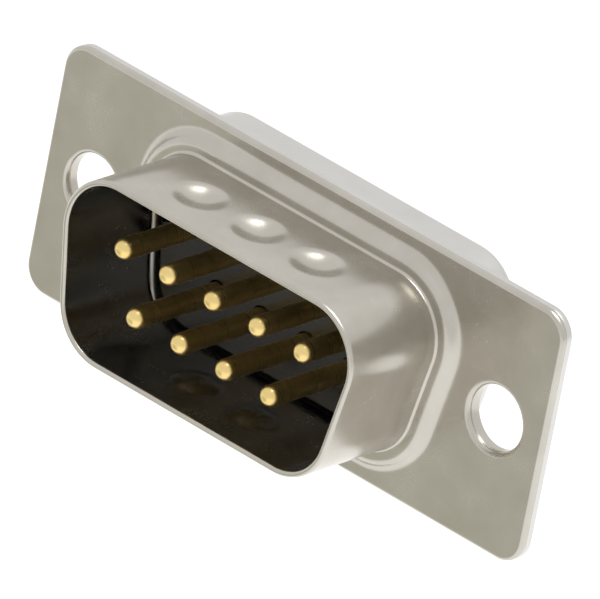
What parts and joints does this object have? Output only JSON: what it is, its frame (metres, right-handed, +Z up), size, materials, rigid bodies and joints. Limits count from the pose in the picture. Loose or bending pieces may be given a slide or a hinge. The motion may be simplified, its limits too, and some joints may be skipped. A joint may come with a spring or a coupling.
{
  "type": "D-subminiature connector plug",
  "caption": "Small D-shaped plug connector with a flanged metal shell, moulded insulators, two rows of round pins and solder cups behind.",
  "frame": {"origin": "centre of the flange's front face, midway between the two mounting holes", "axes": "+X along the flange, +Z up with the longer row of pins on top, the plug mates towards -Y"},
  "size_m": [0.0308, 0.0137, 0.0126],
  "materials": {
    "plated_steel": "nickel-plated drawn sheet steel, semi-bright",
    "tinned_steel": "tin-plated drawn sheet steel, semi-bright",
    "black_plastic": "moulded black polyester, glossy",
    "gold_contact": "gold-plated turned copper alloy"
  },
  "bodies": {
    "root": {"front_shell": "plated_steel", "rear_shell": "tinned_steel", "front_insulator": "black_plastic", "rear_insulator": "black_plastic", "contact_1": "gold_contact", "contact_2": "gold_contact", "contact_3": "gold_contact", "contact_4": "gold_contact", "contact_5": "gold_contact", "contact_6": "gold_contact", "contact_7": "gold_contact", "contact_8": "gold_contact", "contact_9": "gold_contact"}
  },
  "joints": []
}
